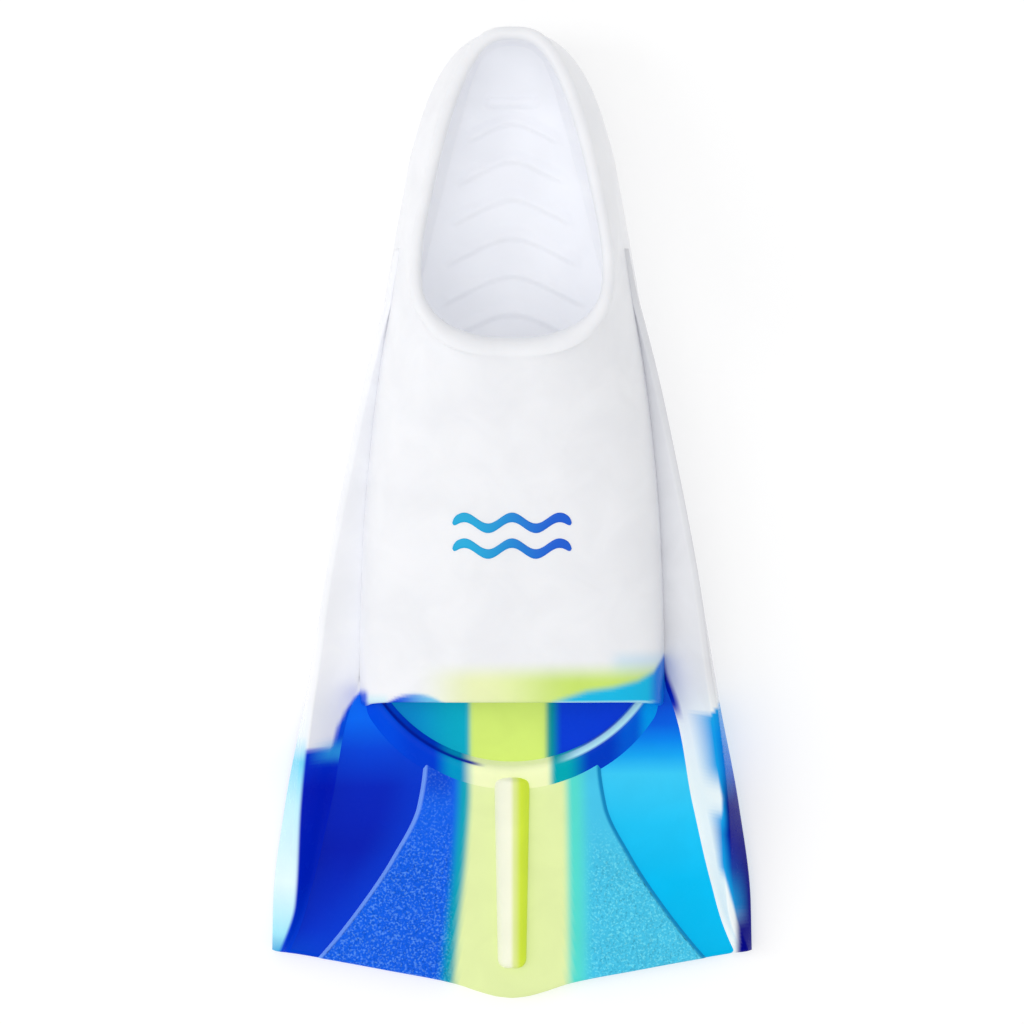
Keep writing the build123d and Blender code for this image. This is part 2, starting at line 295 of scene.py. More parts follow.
def make_loft(name, sections, material, paint, glow=GLOW):
    """A closed skin over rings of points, with flat ends."""
    rows, columns = sections.shape[:2]
    faces = grid_faces(rows, columns, wrap_columns=True)
    faces.append(tuple(range(columns)))
    faces.append(tuple(range((rows - 1) * columns, rows * columns))[::-1])
    return make_object(name, sections, faces, material, paint, glow)


def rounded(corners, radii, steps=6):
    """Closed polygons [n, corners, 2] with each corner replaced by a short curve."""
    out = []
    count = corners.shape[1]
    for k in range(count):
        here, before, after = corners[:, k], corners[:, k - 1], corners[:, (k + 1) % count]
        ends = []
        for other in (before, after):
            way = other - here
            length = np.maximum(np.linalg.norm(way, axis=1, keepdims=True), 1e-6)
            ends.append(here + way / length * np.minimum(radii[k], 0.45 * length))
        for t in np.linspace(0, 1, steps):
            out.append(ends[0] * (1 - t) ** 2 + here * 2 * t * (1 - t) + ends[1] * t * t)
    return np.stack(out, 1)


# Colours

def rgb(r, g, b):
    c = np.array([r, g, b]) / 255
    return np.where(c <= 0.04045, c / 12.92, ((c + 0.055) / 1.055) ** 2.4)


WHITE = rgb(244, 245, 249)
PALE_LIME = rgb(240, 248, 190)
LIME = rgb(208, 236, 112)
BLADE_LIME = rgb(233, 247, 175)
TEAL = rgb(0, 168, 190)
SKY = rgb(120, 205, 240)
CYAN = rgb(0, 185, 238)
PALE_CYAN = rgb(196, 238, 250)
MINT = rgb(88, 226, 212)
ROYAL = rgb(0, 84, 228)
DEEP = rgb(0, 34, 186)


def solid(colour, points):
    return np.tile(colour, (len(points), 1))


def laid(base, other, weight):
    """other laid over base with a weight for each point."""
    return base + (other - base) * np.asarray(weight)[:, None]


def ramp(value, stops):
    """Colour at value, from stops of (value, colour) in rising order."""
    xs = [s[0] for s in stops]
    return np.stack([np.interp(value, xs, [s[1][k] for s in stops]) for k in range(3)], -1)


def paint_blade_across(x, y):
    """The swirl across the toes and the blade's middle: blue, teal, lime, mint, cyan."""
    left, right = curve(y, *SWIRL_LEFT), curve(y, *SWIRL_RIGHT)
    c = np.tile(rgb(10, 98, 240), (len(x), 1))
    c = laid(c, TEAL, ease(x - left, -7.5, -2.5))
    c = laid(c, BLADE_LIME, ease(x - left, -2.6, 1.2))
    c = laid(c, MINT, ease(x - right, -3, 1.5))
    return laid(c, rgb(72, 202, 240), ease(x - right, 2, 9))


def paint_pocket(points):
    x, y, z = points.T
    c = solid(WHITE, points)
    c = laid(c, SKY, 0.3 * ease(y, -50, -56) * ease(x, 34, 42) * ease(z, 18, 26))
    lime = laid(solid(PALE_LIME, points), LIME, ease(x, -14, 26))
    c = laid(c, lime, ease(y, -54.5, -64) * ease(x, -38, -12) * ease(z, 16, 24))
    crescent = laid(solid(SKY, points), ROYAL, ease(x, -28, -44))
    edge = -73.4 + 5.6 * np.clip(1 - ((x + 36) / 13.5) ** 2, 0, 1)
    c = laid(c, crescent, ease(y - edge, 0.9, -0.9) * ease(x, -22, -24) * ease(x, -50, -48))
    # Painted highlight: pale cyan on the cover's left front corner.
    c = laid(c, PALE_CYAN, 0.7 * ease(y, -67, -71) * ease(x, -45, -48))
    c = laid(c, ROYAL, ease(y, -65.5, -69) * ease(x, -53, -55.5))
    edge = np.interp(x, *CORNER_EDGE)
    corner = laid(solid(rgb(0, 190, 235), points), rgb(0, 122, 230), ease(x, 50, 55))
    c = laid(c, corner, ease(y - edge, 1.7, -1.7) * ease(x, 13, 17))
    # Painted highlight: pale cyan along the top of the cover's right front edge.
    c = laid(c, PALE_CYAN, 0.9 * ease(y, -70.3, -70.8) * ease(x, 14, 18) * ease(z, 28, 34))
    below = ease(y, -48, -68) * ease(z, 17, 12)
    return laid(c, paint_blade_across(x, y), below)


def paint_footbed(points):
    x, y, z = points.T
    return laid(solid(WHITE, points), paint_blade_across(x, y), ease(y, -46, -66))


def paint_toe_floor(points):
    x, y, z = points.T
    c = laid(solid(rgb(0, 138, 204), points), rgb(0, 172, 200), ease(x, -42, -20))
    c = laid(c, rgb(214, 238, 118), ease(x, -17.5, -14.5))
    c = laid(c, rgb(0, 150, 150), ease(x, 11.5, 14.5))
    return laid(c, rgb(0, 60, 215), ease(x, 14, 19))


def paint_lip(points):
    x, y, z = points.T
    radius = np.hypot(x, y - LIP_CENTRE_Y)
    c = laid(solid(rgb(0, 76, 224), points), rgb(0, 60, 208), ease(x, -48, -36))
    c = laid(c, rgb(0, 150, 196), ease(x, -30, -22))
    c = laid(c, rgb(244, 251, 196), ease(x, -19.5, -13.5))
    c = laid(c, rgb(0, 168, 180), ease(x, 13, 16.5))
    c = laid(c, rgb(0, 60, 196), ease(x, 20, 30))
    c = laid(c, rgb(0, 92, 214), ease(x, 36, 44))
    c = laid(c, rgb(0, 156, 234), ease(x, 46, 52))
    glint = ease(radius, 61.2, 60.6) * ease(radius, 58.2, 59) * ease(x, 15, 26)
    c = laid(c, rgb(186, 238, 252), glint)
    # Painted shade: a navy line along the lip's inner wall on the left.
    line = ease(radius, 59.2, 60) * ease(radius, 61, 60.4) * ease(x, -9, -16)
    return laid(c, rgb(0, 30, 156), line)


def paint_channel_left(points):
    x, y, z = points.T
    # The channel's own blue, partly painted shade of the hollow panel: darkest through its middle and away
    # from the step, lighter near the lip, the tip and the step.
    c = ramp(y, [(-170, rgb(0, 72, 212)), (-158, rgb(0, 50, 204)), (-128, rgb(0, 30, 182)),
                 (-104, rgb(0, 38, 192)), (-90, rgb(0, 70, 222)), (-78, rgb(0, 110, 250)),
                 (-60, rgb(0, 112, 244))])
    c = laid(c, rgb(0, 62, 214), 0.6 * ease(-x - curve(y, *STEP_X), 16, 0))
    return laid(c, WHITE, left_white(x, y))


def left_white(x, y):
    """Where the pearl white ends on the left rail: a slanting line, then a notched cross line."""
    edge = np.interp(y, *LEFT_WHITE)
    notch = -89 - 7 * np.clip(1 - np.abs(-x - 71) / 2.2, 0, 1)
    return ease(-x - edge, -1, 1) * ease(y - notch, -1.2, 1.2)


def paint_channel_right(points):
    x, y, z = points.T
    # The channel's colour along its length: cyan on the blade, turning dark blue towards the lip, partly its
    # own blue and partly painted shadow of the cover.
    c = ramp(y, [(-170, rgb(0, 186, 238)), (-140, rgb(0, 196, 250)), (-118, rgb(30, 200, 250)),
                 (-99, rgb(60, 208, 252)), (-92, rgb(20, 172, 248)), (-86, rgb(0, 138, 244)),
                 (-80, rgb(0, 100, 230)), (-72, rgb(0, 84, 220)), (-60, rgb(0, 120, 232))])
    # Painted highlight: pale cyan along the rail's foot.
    return laid(c, PALE_CYAN, 0.5 * ease(x - rail_value(y, 1), -1.5, 1.5) * ease(y, -90, -100))


def paint_rail_left(points):
    x, y, z = points.T
    ridge = rail_value(y, 2)
    inner = ramp(y, [(-168, rgb(0, 66, 220)), (-140, rgb(0, 36, 196)), (-104, rgb(0, 26, 190)),
                     (-92, rgb(0, 50, 212)), (-80, ROYAL)])
    inner = laid(inner, WHITE, left_white(x, y))
    glow = ease(y, -84, -90) * ease(y, -96, -91) * ease(-x, 76, 72)
    inner = laid(inner, rgb(60, 190, 240), 0.55 * glow)
    outer = ramp(y, [(-168, rgb(0, 150, 215)), (-160, rgb(160, 228, 246)), (-140, rgb(224, 246, 252)),
                     (-110, rgb(190, 236, 250)), (-94, rgb(120, 214, 244)),
                     (-84, rgb(236, 244, 250)), (-70, WHITE)])
    c = laid(inner, outer, ease(-x - ridge, -1.4, 0.2))
    return laid(c, paint_under(x, y), rail_underside(y, z))


def paint_rail_right(points):
    x, y, z = points.T
    # Painted shade: the rail is painted a greyer white beside the pocket; on the blade it turns a brighter
    # white.
    c = solid(rgb(230, 231, 235), points)
    c = laid(c, rgb(246, 254, 255), ease(y, -60, -86))
    edge = np.interp(y, *RIGHT_WHITE)
    outer = ramp(y, [(-168, rgb(0, 40, 170)), (-120, rgb(0, 30, 170)), (-100, rgb(0, 90, 214)),
                     (-84, rgb(0, 140, 236)), (-72, rgb(30, 150, 236))])
    # Across the rail's outer side the colour runs from cyan to navy: partly its own colours, partly painted
    # shade on the side that faces away from the light.
    near = laid(solid(rgb(20, 166, 236), points), outer, ease(x - edge, 0, 5))
    c = laid(c, near, ease(x - edge, -0.8, 0.8) * ease(y - 1.2 * (x - 76), -67, -75))
    # Near-black navy towards the rail's outer edge: partly its own navy, partly painted shade on the side
    # away from the light.
    dark = ease(x - rail_value(y, 3), -7.5, -4.5) * ease(y, -94, -112)
    c = laid(c, rgb(0, 4, 138), dark)
    # Dark blue at the rail's inner foot beside the pocket's front: partly its blue, partly painted shade in
    # the crease between pocket and rail.
    foot = ease(x - rail_value(y, 1), 1.6, -0.4) * ease(y, -50, -56) * ease(y, -80, -72)
    c = laid(c, rgb(0, 40, 190), foot)
    return laid(c, paint_under(x, y), rail_underside(y, z))


def rail_underside(y, z):
    """1 on the underside of a rail, 0 above it and beside the pocket."""
    return ease(z - rail_value(y, 6), 1.2, 0.2) * ease(y, -60, -90)


def paint_under(x, y):
    """The guessed colours of the blade's underside."""
    side = np.where((x > 0)[:, None], CYAN, DEEP)
    return laid(side, paint_blade_across(x, y), ease(np.abs(x), 50, 34))


def paint_centre(points):
    x, y, z = points.T
    c = paint_blade_across(x, y)
    rear = ease(y, -112, -101)
    c = laid(c, rgb(0, 58, 204), 0.6 * rear * ease(x, -20, -26))
    # Painted highlight: pale lime on the panel's middle by the lip.
    c = laid(c, rgb(236, 246, 190), 0.5 * ease(y, -108, -101) * ease(np.abs(x), 18, 12))
    # Painted light along the step at the panel's edge: a pale blue highlight on the left and a darker teal
    # shade on the right.
    line = ease(np.abs(x) - curve(y, *STEP_X), -1.5, -0.5)
    return laid(c, np.where((x > 0)[:, None], rgb(0, 140, 200), rgb(130, 176, 255)), 0.85 * line)


def paint_rib(points):
    x, y, z = points.T
    # Painted light over the rib's lime: a pale highlight on its left flank and a deeper lime shade on its
    # right flank.
    c = laid(solid(rgb(252, 254, 228), points), rgb(232, 244, 150), ease(x, -0.8, 1))
    return laid(c, rgb(224, 246, 62), ease(x, 1.2, 3.4))


def paint_keel(points):
    return paint_blade_across(points[:, 0], points[:, 1])


def paint_mark(points):
    return laid(solid(rgb(0, 172, 222), points), rgb(0, 92, 214), ease(points[:, 0], -20, 18))


# Materials

def new_node(tree, kind, **values):
    node = tree.nodes.new(kind)
    for name, value in values.items():
        if name in node.inputs:
            node.inputs[name].default_value = value
        else:
            setattr(node, name, value)
    return node


def noise(tree, place, scale, detail, distortion=0.0):
    node = new_node(tree, "ShaderNodeTexNoise", Scale=scale, Detail=detail, Distortion=distortion)
    tree.links.new(place, node.inputs["Vector"])
    return node.outputs["Fac"]


def spread(tree, value, low, high):
    """value from 0..1 spread onto low..high."""
    node = new_node(tree, "ShaderNodeMapRange")
    node.inputs["From Min"].default_value = 0.3
    node.inputs["From Max"].default_value = 0.7
    node.inputs["To Min"].default_value = low
    node.inputs["To Max"].default_value = high
    tree.links.new(value, node.inputs["Value"])
    return node.outputs["Result"]


def product(tree, a, b):
    node = new_node(tree, "ShaderNodeMath", operation="MULTIPLY")
    tree.links.new(a, node.inputs[0])
    tree.links.new(b, node.inputs[1])
    return node.outputs[0]


def bump(tree, height, strength, distance, below=None):
    node = new_node(tree, "ShaderNodeBump", Strength=strength, Distance=distance)
    tree.links.new(height, node.inputs["Height"])
    if below is not None:
        tree.links.new(below, node.inputs["Normal"])
    return node.outputs["Normal"]


def pebbled(tree, place, colour, normal):
    """The textured panel's colour with painted glints, lighter flecks where light catches the pebbles, and
    its pebbled normal, where the mesh's grain says so.
    """
    mask = new_node(tree, "ShaderNodeAttribute", attribute_name="grain").outputs["Fac"]
    cells = new_node(tree, "ShaderNodeTexVoronoi", Scale=PEBBLES, feature="SMOOTH_F1")
    tree.links.new(place, cells.inputs["Vector"])
    normal = bump(tree, product(tree, cells.outputs["Distance"], mask), 1.0, 0.0009, normal)
    normal = bump(tree, product(tree, noise(tree, place, WRINKLES, 2, 1.6), mask), 0.7, 0.0006, normal)
    # Painted glints: a lighter copy of the colour, laid in small flecks over the pebbles.
    glint_colour = new_node(tree, "ShaderNodeHueSaturation", Hue=0.475, Saturation=0.85, Value=1.25)
    tree.links.new(colour, glint_colour.inputs["Color"])
    painted_glint = product(tree, spread(tree, noise(tree, place, PAINTED_GLINTS, 1), -0.6, 0.58), mask)
    # A colour mix has its factor at input 0, its two colours at 6 and 7, and its result at output 2.
    glint_mix = new_node(tree, "ShaderNodeMix", data_type="RGBA", blend_type="MIX")
    tree.links.new(painted_glint, glint_mix.inputs[0])
    tree.links.new(colour, glint_mix.inputs[6])
    tree.links.new(glint_colour.outputs["Color"], glint_mix.inputs[7])
    return glint_mix.outputs[2], normal


def silicone(name, rough, clear, shine, colour=None, grain=False):
    """Moulded silicone in the mesh's own paint, or in one colour. rough is (smoothest, roughest)."""
    material = bpy.data.materials.new(name)
    material.use_nodes = True
    tree = material.node_tree
    shader = tree.nodes["Principled BSDF"]
    if colour is None:
        place = new_node(tree, "ShaderNodeAttribute", attribute_name="rest").outputs["Vector"]
        paint = new_node(tree, "ShaderNodeAttribute", attribute_name="paint").outputs["Color"]
    else:
        place = new_node(tree, "ShaderNodeTexCoord").outputs["Object"]
        paint = new_node(tree, "ShaderNodeRGB").outputs[0]
        paint.default_value = (*colour, 1)
    shade = new_node(tree, "ShaderNodeHueSaturation")
    tree.links.new(paint, shade.inputs["Color"])
    tree.links.new(spread(tree, noise(tree, place, MOTTLE, 3, 0.6), 0.965, 1.02), shade.inputs["Value"])
    surface = shade.outputs["Color"]
    if colour is None:
        # Painted light: the surface gives off the share of its own colour that its glow attribute holds.
        glow = new_node(tree, "ShaderNodeAttribute", attribute_name="glow").outputs["Fac"]
        tree.links.new(surface, shader.inputs["Emission Color"])
        tree.links.new(glow, shader.inputs["Emission Strength"])
    tree.links.new(spread(tree, noise(tree, place, SHEEN, 4), *rough), shader.inputs["Roughness"])
    skin = bump(tree, noise(tree, place, SKIN, 3), 0.25, 0.00006)
    normal = bump(tree, noise(tree, place, SWELL, 2), 0.3, 0.0004, skin)
    if grain:
        surface, normal = pebbled(tree, place, surface, normal)
    tree.links.new(surface, shader.inputs["Base Color"])
    tree.links.new(normal, shader.inputs["Normal"])
    shader.inputs["Subsurface Weight"].default_value = clear
    shader.inputs["Subsurface Radius"].default_value = (1, 0.9, 0.8)
    shader.inputs["Subsurface Scale"].default_value = 0.0025
    shader.inputs["Specular IOR Level"].default_value = shine
    shader.inputs["Coat Weight"].default_value = 0.2 * shine
    shader.inputs["Coat Roughness"].default_value = 0.22
    return material


# Foot pocket

def ring_values(station):
    """A ring's low point, its way up from there, its length, half width, skew and two powers."""
    at = [curve(station, range(len(RINGS)), RINGS[:, k]) for k in range(8)]
    top_y, top_z, low_y, low_z, half, skew, low_power, top_power = at
    length = np.hypot(top_y - low_y, top_z - low_z)
    return (low_y, low_z, (top_y - low_y) / length, (top_z - low_z) / length,
            length, half, skew, low_power, top_power)


def ring(station, turn, side, low, top):
    """Points of the pocket's rings, drawn in by side, low and top.
    turn goes from the sole (0) over the right side to the top (pi) and back."""
    low_y, low_z, way_y, way_z, length, half, skew, low_power, top_power = ring_values(station)
    up, over = np.cos(turn), np.sin(turn)
    power = np.where(up > 0, low_power, top_power)
    reach = (np.abs(up) ** power + np.abs(over) ** power) ** (-1 / power)
    along = -up * reach
    x = over * reach * (half - side + skew * along)
    run = low + (length - low - top) * (along + 1) / 2
    return np.stack([x, low_y + way_y * run, low_z + way_z * run], -1)


def low_wall(station):
    """Thickness under the foot, which thins up the back of the heel."""
    return SOLE - 0.9 * ease(station, 7, 9)


def front_share(turn):
    """1 at the opening's front, 0 along its sides and the heel."""
    return ease(-np.cos(turn), 0.58, 0.94)


def pocket_points():
    turn = np.linspace(0, 2 * math.pi, RING_POINTS + 1)[:-1][None, :]
    front = front_share(turn)
    edge = EDGE_R / MOUTH_STEP
    outer = np.linspace(edge, 9.8, OUTER_ROWS)[:, None]
    lift = RIM_FRONT[0, 1] * front * ease(outer, 4.5, 10)
    rows = [ring(outer, turn, 0, 0, 0) + lift[..., None] * RIM_UP]
    inset = RIM[:, :1] + (RIM_FRONT[:, :1] - RIM[:, :1]) * front
    height = RIM[:, 1:] + (RIM_FRONT[:, 1:] - RIM[:, 1:]) * front
    last = np.full((len(RIM), 1), float(LAST_RING))
    rows.append(ring(last, turn, inset, inset, inset) + height[..., None] * RIM_UP)
    inner = np.linspace(9.7, edge, INNER_ROWS)[:, None]
    hang = (front * ease(inner, 5.5, 9.7))[..., None] * FRONT_HANG
    rows.append(ring(inner, turn, SIDE_WALL, low_wall(inner), SIDE_WALL) + hang)
    angle = np.linspace(math.pi, 0, 9)[1:-1, None]
    round_in = (1 - np.cos(angle)) / 2
    side = SIDE_WALL * round_in
    mouth = ring(np.full_like(angle, edge), turn, side, SOLE * round_in, side)
    rows.append(mouth - np.sin(angle)[..., None] * np.array([0, EDGE_R, 0]))
    points = np.concatenate(rows)
    points[..., 1] += MOUTH_PULL * ease(points[..., 2], 20, 36) * ease(points[..., 1], -52, -70)
    return points


def build_pocket(material):
    points = pocket_points()
    rows, columns = points.shape[:2]
    faces = grid_faces(rows, columns, wrap_rows=True, wrap_columns=True)
    row = np.arange(rows)[:, None]
    # Painted light: inside the pocket the surface gives off more of its own colour, lifting its shade.
    inside = ease(row, OUTER_ROWS + 9, OUTER_ROWS + 15) * ease(points[..., 1], -62, -15)
    glow = GLOW + (POCKET_GLOW - GLOW) * inside
    obj = make_object("pocket_skin", points, faces, material, paint_pocket, glow.ravel())
    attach(obj, "foot_pocket")
    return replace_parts(obj, "foot_pocket_shell", "cover_front_bead", "opening_rim", "outsole")


def pocket_half_width(y, z):
    """Outer half width of the pocket at (y, z), from the nearest points of its rings."""
    station = np.linspace(0, LAST_RING, 260)[:, None]
    turn = np.linspace(0.02, math.pi - 0.02, 160)[None, :]
    skin = ring(station, turn, 0, 0, 0).reshape(-1, 3)
    out = []
    for a, b in zip(np.ravel(y), np.ravel(z)):
        far = np.hypot(skin[:, 1] - a, skin[:, 2] - b)
        near = np.argsort(far)[:4]
        out.append(np.average(skin[near, 0], weights=1 / (far[near] + 0.05)))
    return np.array(out)


def chevrons(x, y, half):
    """Height of the raised chevrons on the footbed at (x, y)."""
    height = np.zeros_like(x)
    for k in range(CHEVRONS):
        wide = np.minimum(17 + 2.4 * k, half - 6)
        arm = (np.hypot(x / wide, 0.3) - 0.3) / 0.744
        drop = y - (CHEVRON_FIRST_Y - CHEVRON_PITCH * k - 0.42 * wide * arm)
        shape = ease(drop, -1.4, -0.2) * ease(drop, 4.6, 0.4)
        height += shape * ease(np.abs(x) - wide, 3, -3) * (1 - 0.045 * k)
    bar = ease(np.abs(y - 155.5), 2.2, 1) * ease(np.abs(x), 11, 8)
    return CHEVRON_HIGH * np.clip(height + 0.7 * bar, 0, 1)


def build_footbed(material):
    """The footbed rises above the sole, runs up the walls and fades into them and into the heel."""
    station = np.linspace(0.35, 9, 360)[:, None]
    s = np.linspace(-1, 1, 151)[None, :]
    low_y, low_z, way_y, way_z, length, half, skew, power, _ = ring_values(station)
    wall = low_wall(station)
    inside = length - wall - SIDE_WALL
    room = half - SIDE_WALL - 0.9 * skew
    border = 1 - 2 * PAD_CLIMB / inside
    x = s * (1 - border ** power) ** (1 / power) * room
    climb = inside * (1 - (1 - np.clip(np.abs(x) / room, 0, 1) ** power) ** (1 / power)) / 2
    floor = FOOTBED * ease(station, 8.9, 7.6)
    run = PAD_SOFT * np.log(np.exp(floor / PAD_SOFT) + np.exp(climb / PAD_SOFT)) - 0.4 * PAD_SOFT
    run = run - 0.7 * ease(np.abs(s), 0.86, 1) - 1.1 * ease(station, 8.2, 9)
    y = low_y + way_y * (wall + run)
    x = x + 0 * y
    ridges = chevrons(x, y, x.max(1, keepdims=True)) * ease(station, 8.3, 7.9)
    low = wall + np.minimum(run, climb) - PAD_DEEP
    top = low_z + way_z * (wall + run) + ridges
    # Painted light: the footbed gives off more of its own colour towards the heel, lifting the shade inside
    # the pocket.
    toes, heel = FOOTBED_GLOW
    glow = toes + (heel - toes) * ease(y, -62, -15)
    obj = make_slab("footbed_pad", x, y, top, low_z + way_z * low, material, paint_footbed,
                    glow)
    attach(obj, "foot_pocket")
    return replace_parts(obj, "footbed", "footbed_ridges")


def build_toe_floor(material):
    x = np.linspace(-55.2, 55.2, 111)[None, :] * np.ones((61, 1))
    v = np.linspace(0, 1, 61)[:, None]
    y = -62 * (1 - v) + lip_y(x) * v
    top = TOE_FLOOR_Z - 0.8 * ease(y, -73, -63)
    low = 8.9 - 0.2 * ease(y, -73, -95)
    obj = make_slab("toe_floor_pad", x, y, top, low, material, paint_toe_floor,
                    TOE_FLOOR_GLOW)
    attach(obj, "foot_pocket")
    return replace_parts(obj, "toe_floor")


def build_lip(material):
    turn = np.radians(np.linspace(-LIP_TURN, LIP_TURN, 181))[:, None]
    profile = rounded(np.array([LIP], float), [0.5] * len(LIP), 3)[0]
    thin = 1 - 0.7 * ease(np.abs(turn), math.radians(LIP_THIN), math.radians(LIP_TURN))
    radius = LIP_MID + (profile[None, :, 0] - LIP_MID) * thin
    height = LIP_ROOT_Z + (profile[None, :, 1] - LIP_ROOT_Z) * (0.4 + 0.6 * thin)
    sections = np.stack([np.sin(turn) * radius, LIP_CENTRE_Y - np.cos(turn) * radius, height], -1)
    obj = make_loft("toe_lip_roll", sections, material, paint_lip, LIP_GLOW)
    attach(obj, "foot_pocket")
    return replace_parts(obj, "toe_lip")


def build_mark(pocket, material):
    """Two plain waves, laid on the cover by casting rays down onto it."""
    tree = BVHTree.FromPolygons([v.co for v in pocket.data.vertices],
                                [p.vertices for p in pocket.data.polygons])
    tip = WAVE_THICK / 2
    above = 0.2               # metres
    for name, centre in zip(("mark_wave_upper", "mark_wave_lower"), WAVE_Y):
        x = np.linspace(-WAVE_HALF, WAVE_HALF, 121)[:, None]
        s = np.linspace(-1, 1, 13)[None, :]
        end = np.sqrt(np.clip(1 - (np.clip(np.abs(x) - WAVE_HALF + tip, 0, tip) / tip) ** 2, 0.004, 1))
        y = centre + WAVE_SWING * np.cos(2 * math.pi * x / WAVE_LENGTH) + s * WAVE_THICK / 2 * end
        x = x + 0 * s
        under = np.zeros_like(x)
        for i, j in np.ndindex(x.shape):
            start = Vector((x[i, j] * MM, (y[i, j] + SHIFT_Y) * MM, above))
            under[i, j] = tree.ray_cast(start, Vector((0, 0, -1)))[0].z * 1000
        top = under + MARK_RISE * ease(np.abs(s), 1, 0.75)
        obj = make_slab(name, x, y, top, under - MARK_SINK, material, paint_mark)
        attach(obj, "foot_pocket")
        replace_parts(obj, "printed_mark")


# Blade

def bend(obj):
    """Bakes the piece's placement into its mesh."""
    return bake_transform(obj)


def tip_rows(length):
    """Shares of the way from the lip to the tip, a column for each length, closer together at the tip."""
    near = np.array([1.5, 1.15, 0.8, 0.5, 0.25, 0.08, 0])[:, None]
    main = np.linspace(0, 1, 104)[:, None] * (1 - 2 / length)
    return np.concatenate([main, 1 - near / length])


def tip_round(distance):
    """How far the top and the bottom draw in near the trailing edge."""
    d = np.clip(distance, 0, TIP_R)
    return TIP_R - np.sqrt(TIP_R ** 2 - (TIP_R - d) ** 2)


def blade_grid(x_of, rear_of):
    """x and y over a part of the blade, and the distance to the trailing edge.
    x_of(y) gives the x of a row, one for each y. The two ends settle where a row meets its own edge."""
    ends = []
    for edge in (rear_of, tip_y):
        x = x_of(np.full((1, 1), -100.0))[0]
        for _ in range(12):
            x = x_of(edge(x))
        ends.append(edge(x))
    rear, tip = ends
    length = np.abs(tip - rear)[None, :]
    y = rear[None, :] + (tip - rear)[None, :] * tip_rows(length)
    return x_of(y), y, y - tip[None, :]


def build_centre(material):
    flank = np.array([0, 0.3, 0.6, 0.9, 1.2, 1.5, 1.9, 2.5])
    inner = np.linspace(-1, 1, 75)[1:-1]
    inset = np.concatenate([flank, np.full(len(inner), flank[-1]), flank[::-1]])
    share = np.concatenate([np.full(len(flank), -1), inner, np.full(len(flank), 1)])

    def x_of(y):
        return share * (curve(y, *STEP_X) + STEP_WIDE / 2 - inset)

    x, y, far = blade_grid(x_of, lambda x: lip_y(np.clip(x, -40, 40)))
    side = curve(y, *STEP_X) + STEP_WIDE / 2 - np.abs(x)
    drop = tip_round(far)
    top = web_top(y) - 0.3 + (CENTRE_RAISE + 0.3) * ease(side, 0, STEP_WIDE) - drop
    low = web_low(y) - 0.5 + 0.6 * ease(side, 1.2, 0) + drop
    obj = make_slab("centre_web", x, y, top, low, material, paint_centre)
    grain = obj.data.attributes.new("grain", "FLOAT", "POINT")
    grain.data.foreach_set("value", np.tile(grain_mask(x, y).ravel(), 2).astype(np.float32))
    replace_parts(obj, "centre_panel", "web_flex", "web_root")
    return bend(obj)


def grain_mask(x, y):
    """1 where the panel is pebbled, 0 where it is smooth."""
    left = ease(x, -21, -25) * (0.45 + 0.55 * ease(y, -108, -140))
    right = ease(x, 26, 32) * ease(y, -112, -138)
    inside = ease(curve(y, *STEP_X) - np.abs(x), 0.6, 2)
    return (left + right) * inside


def build_channel(name, sign, material, paint, nodes):
    s = np.linspace(0, 1, 49)

    def x_of(y):
        near, far = curve(y, *STEP_X) - 1.6, rail_value(y, 1) + 2.6
        return near + (far - near) * s

    def rear_of(x):
        return lip_y(np.minimum(x, 57)) + 3.5 * ease(x, 57, 62)

    x, y, far = blade_grid(x_of, rear_of)
    drop = tip_round(far)
    hollow = 0.35 * np.sin(math.pi * s)[None, :]
    top = web_top(y) - hollow - drop - 0.5 * ease(x - curve(y, *STEP_X), -0.4, -1.4)
    obj = make_slab(name, sign * x, y, top, web_low(y) + drop, material, paint)
    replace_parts(obj, *nodes)
    return bend(obj)


def rail_sections():
    """Cross-sections of the right rail, which sinks into the pocket's wall beside the foot."""
    y = np.concatenate([np.linspace(RAIL_START_Y, RAIL_END_Y + 2, 190),
                        RAIL_END_Y + np.array([1.5, 1.1, 0.75, 0.45, 0.2, 0.05, 0])])
    inner, ridge, outer, ridge_z, outer_z, keel_z, top, low = [rail_value(y, k) for k in range(1, 9)]
    beside = y > -58
    wall = np.where(beside, pocket_half_width(y, (top + low) / 2) - WALL_SINK, 0)
    crest_wall = np.where(beside, pocket_half_width(y, ridge_z) - WALL_SINK, 0)
    foot = 4.6 * ease(y, -60, -74) + 0.3
    inside = np.maximum(inner - foot, wall)
    inner = np.maximum(inner, inside + 0.5)
    ridge = np.maximum(ridge, np.maximum(inner, crest_wall) + 1.4)
    outer = np.maximum(outer, ridge + 0.6)
    raised = ease(y, -50, -70)
    corners = np.stack([
        np.stack([inside, top - 1.2], -1),
        np.stack([inner - 0.6 * raised, top + 0.15], -1),
        np.stack([ridge - RIDGE_FLAT, ridge_z], -1),
        np.stack([ridge + RIDGE_FLAT, ridge_z - 0.6], -1),
        np.stack([outer, outer_z], -1),
        np.stack([outer - 1, keel_z], -1),
        np.stack([np.maximum(outer - KEEL_IN, inside + 0.2), keel_z], -1),
        np.stack([inside, low + 1], -1),
    ], 1)
    outline = rounded(corners, RAIL_RADII)
    highest, lowest = outline[..., 1].max(1, keepdims=True), outline[..., 1].min(1, keepdims=True)
    middle, room = (highest + lowest) / 2, (highest - lowest) / 2
    shrink = 1 - tip_round(y - RAIL_END_Y)[:, None] / np.maximum(room, 1.6)
    height = middle + (outline[..., 1] - middle) * shrink
    lean = ease(y, -140, RAIL_END_Y)[:, None] * (tip_y(outline[..., 0]) - RAIL_END_Y)
    return np.stack([outline[..., 0], y[:, None] + lean, height], -1)


